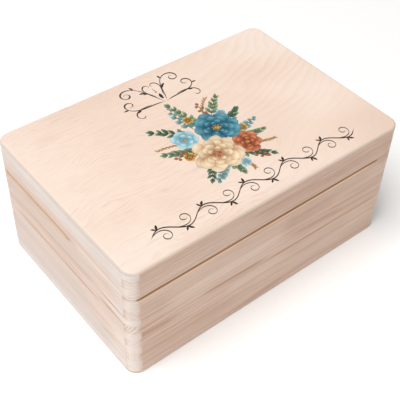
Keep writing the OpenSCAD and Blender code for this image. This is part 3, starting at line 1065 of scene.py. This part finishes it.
def posy():
    """The bunch of flowers in the middle of the lid."""
    rng = random.Random(7)
    green = Print("print_foliage")
    for draw, places in ((grass, GRASSES), (wand, WANDS), (spray, SPRAYS), (berries, BERRY_TWIGS)):
        for place in places:
            draw(green, *place, rng)
    green.build(watercolour)

    flowers = Print("print_flowers", FIRST_LAYER + FOLIAGE_LAYERS)
    for centre, radius, colours in FLORETS:
        blossom(flowers, centre, radius, colours, rng, FLORET_RINGS)
        eye(flowers, centre, radius * FLORET_EYE, OCHRE, rng, FLORET_DOTS)
    for centre, radius, colours, rings, eye_radius, eye_colours, dots in BLOSSOMS:
        blossom(flowers, centre, radius, colours, rng, rings)
        eye(flowers, centre, eye_radius, eye_colours, rng, dots)
    flowers.build(watercolour)


# Each scroll on the right of the flourish: its start, heading, length, first and last bend, and width,
# then the leaves on it: how far along, which side and how long.
SCROLLS = (
    ((0.8, 52.0), 1.12, 76, 0.010, -0.385, 1.7, ((0.30, -1, 6.4), (0.47, 1, 5.6))),
    ((0.8, 52.0), 0.30, 62, -0.022, 0.40, 1.7, ((0.42, -1, 6.0), (0.62, -1, 5.2))),
    ((13.5, 55.2), 0.12, 36, -0.010, -0.42, 1.3, ()),
    ((3.4, 61.0), 1.22, 31, -0.015, 0.50, 1.3, ((0.34, -1, 5.0),)),
)
SCROLL_POWER = 2.3
SCROLL_LEAF_TURN = 0.7
DROP_Y, DROP = 56.5, 9.0
DOTS, DOT_Y, DOT_STEP = 3, 68.6, 2.7
DOT, DOT_SHRINK = 0.95, 0.18
PEN_LEAF_WIDTH = 0.36


def pen_leaf(art, place, heading, length, rng):
    """A small leaf of solid ink."""
    petal(art, place, heading, length, length * PEN_LEAF_WIDTH, (INK, INK, INK_EDGE), rng, fullness=0.5)


def flourish():
    """Mirrored pen scrolls above the posy, with a drop and dots between them."""
    rng = random.Random(11)
    art = Print("print_flourish")
    for start, heading, length, bend_start, bend_end, width, leaves in SCROLLS:
        path = curl(start, heading, length, bend_start, bend_end, SCROLL_POWER)
        for line, nib, flip in ((path, NIB, 1), (mirrored(path), math.pi - NIB, -1)):
            stroke(art, line, width, INK, nib=nib, edge=INK_EDGE)
            for share, side, size in leaves:
                x, y, heading = at(line, share)
                pen_leaf(art, (x, y), heading + side * flip * SCROLL_LEAF_TURN, size, rng)
    pen_leaf(art, (0, DROP_Y), math.pi / 2, DROP, rng)
    for i in range(DOTS):
        disc(art, (0, DOT_Y + DOT_STEP * i), DOT - DOT_SHRINK * i, INK, INK_EDGE)
    art.build(watercolour)


# STEM_STEPS is the steps in a wave, LEAF_SHARE where in half a wave the leaves are.
VINE_LEFT = -114.0
VINE_RIGHT = 110.0
VINE_Y = -79.0
VINE_WAVES = 5
VINE_SWING = 5.6
STEM_STEPS = 60
STEM_WIDTH, TENDRIL_WIDTH = 1.4, 1.15
TENDRIL, TENDRIL_BENDS, TENDRIL_POWER = 41, (-0.045, -0.42), 1.5
LEAF_SHARE = 0.40
# The two leaves of each half wave: their turn from the stem and their length.
VINE_LEAVES = ((0.75, 6.2), (1.9, 5.0))


def wave_stem():
    """Points and headings of the vine's waving stem."""
    wave = (VINE_RIGHT - VINE_LEFT) / VINE_WAVES
    out = []
    for i in range(STEM_STEPS * VINE_WAVES + 1):
        angle = 2 * math.pi * i / STEM_STEPS
        slope = VINE_SWING * math.cos(angle) * 2 * math.pi / wave
        x, y = VINE_LEFT + wave * i / STEM_STEPS, VINE_Y + VINE_SWING * math.sin(angle)
        out.append((x, y, math.atan(slope)))
    return out


def vine():
    """A long penned scroll of leaves below the posy: each half wave of its stem holds a spiral."""
    rng = random.Random(5)
    art = Print("print_vine")
    stem = wave_stem()
    stroke(art, stem, STEM_WIDTH, INK, thin=0.55, taper=0.03, edge=INK_EDGE)
    half_wave = STEM_STEPS // 2
    for i in range(2 * VINE_WAVES):
        up = 1 if i % 2 == 0 else -1
        x, y, heading = stem[i * half_wave]
        path = curl((x, y), heading, TENDRIL, *(up * bend for bend in TENDRIL_BENDS), TENDRIL_POWER)
        stroke(art, path, TENDRIL_WIDTH, INK, edge=INK_EDGE)
        x, y, heading = stem[i * half_wave + int(LEAF_SHARE * half_wave)]
        for turn, size in VINE_LEAVES:
            pen_leaf(art, (x, y), heading + up * turn, size, rng)
    art.build(watercolour)


posy()
flourish()
vine()


# -------------------------------- floor, light and camera

FLOOR_SIZE = 8.0
FLOOR_WHITE, FLOOR_ROUGH, FLOOR_SPECULAR = srgb(251, 251, 251), 0.9, 0.1
FLOOR_MOTTLE, FLOOR_SHADE = 0.02, 0.004


def floor():
    """A wide pale floor under the box; its size is in metres."""
    half = FLOOR_SIZE / 2
    corners = [(-half, -half, 0), (half, -half, 0), (half, half, 0), (-half, half, 0)]
    mesh = bpy.data.meshes.new("floor")
    mesh.from_pydata(corners, [], [(0, 1, 2, 3)])
    s = Shader("floor_paper")
    colour = s.shade(FLOOR_WHITE, (s.mottle(FLOOR_MOTTLE), FLOOR_SHADE))
    mesh.materials.append(s.finish(colour, FLOOR_ROUGH, Specular_IOR_Level=FLOOR_SPECULAR))
    plane = bpy.data.objects.new("floor", mesh)
    scene.collection.objects.link(plane)


def softbox(name, direction, distance, size, power, colour):
    """A square area light that faces the box from a direction; distance and size are in metres."""
    lamp = bpy.data.lights.new(name, "AREA")
    lamp.shape = "SQUARE"
    lamp.size = size
    lamp.energy = power
    lamp.color = colour
    holder = bpy.data.objects.new(name, lamp)
    scene.collection.objects.link(holder)
    aim = Vector((0, 0, TOP_Z / 2 * MM))
    away = Vector(direction).normalized()
    holder.location = aim + away * distance
    holder.rotation_euler = away.to_track_quat("Z", "Y").to_euler()


def sky(colour, strength, seen):
    """Even light from all round. What is seen of it past the floor's edge is a white studio wall."""
    world = bpy.data.worlds.new("studio")
    world.use_nodes = True
    tree = world.node_tree
    background = tree.nodes["Background"]
    background.inputs["Color"].default_value = (*colour, 1.0)
    path = tree.nodes.new("ShaderNodeLightPath")
    level = tree.nodes.new("ShaderNodeMapRange")
    level.inputs["To Min"].default_value = strength
    level.inputs["To Max"].default_value = seen
    tree.links.new(path.outputs["Is Camera Ray"], level.inputs["Value"])
    tree.links.new(level.outputs["Result"], background.inputs["Strength"])
    scene.world = world


PHOTO_SIZE = 400
SENSOR = 36.0
FOCAL_PIXELS = 812.3


def camera(azimuth, elevation, roll, target, distance):
    """A pinhole camera looking along +Y at azimuth 0; angles in degrees, lengths in millimetres."""
    az, el, ro = (math.radians(v) for v in (azimuth, elevation, roll))
    back = Vector((math.sin(az) * math.cos(el), -math.cos(az) * math.cos(el), math.sin(el)))
    level = Vector((math.cos(az), math.sin(az), 0))
    upright = back.cross(level)
    right = level * math.cos(ro) + upright * math.sin(ro)
    up = upright * math.cos(ro) - level * math.sin(ro)
    place = (Vector(target) + back * distance) * MM
    lens = bpy.data.cameras.new("camera")
    lens.sensor_width = SENSOR
    lens.lens = FOCAL_PIXELS * SENSOR / PHOTO_SIZE
    lens.dof.use_dof = False
    holder = bpy.data.objects.new("camera", lens)
    turn = Matrix((right, up, back)).transposed().to_4x4()
    holder.matrix_world = Matrix.Translation(place) @ turn
    scene.collection.objects.link(holder)
    scene.camera = holder


floor()
sky(colour=(1.0, 1.0, 1.0), strength=0.12, seen=0.9)
softbox("key_light", direction=(-0.39, -0.05, 0.91), distance=5.0, size=3.75, power=312.0,
        colour=(1.0, 0.995, 0.985))
softbox("rear_fill", direction=(0.5, 0.85, 0.18), distance=2.5, size=2.0, power=6.5, colour=(1.0, 0.98, 0.95))
softbox("warm_fill", direction=(-0.25, -0.92, 0.3), distance=1.2, size=0.8, power=0.9,
        colour=(1.0, 0.76, 0.62))
camera(azimuth=-40.43, elevation=44.52, roll=2.38, target=(-14.0, -17.3, 65.0), distance=747.3)
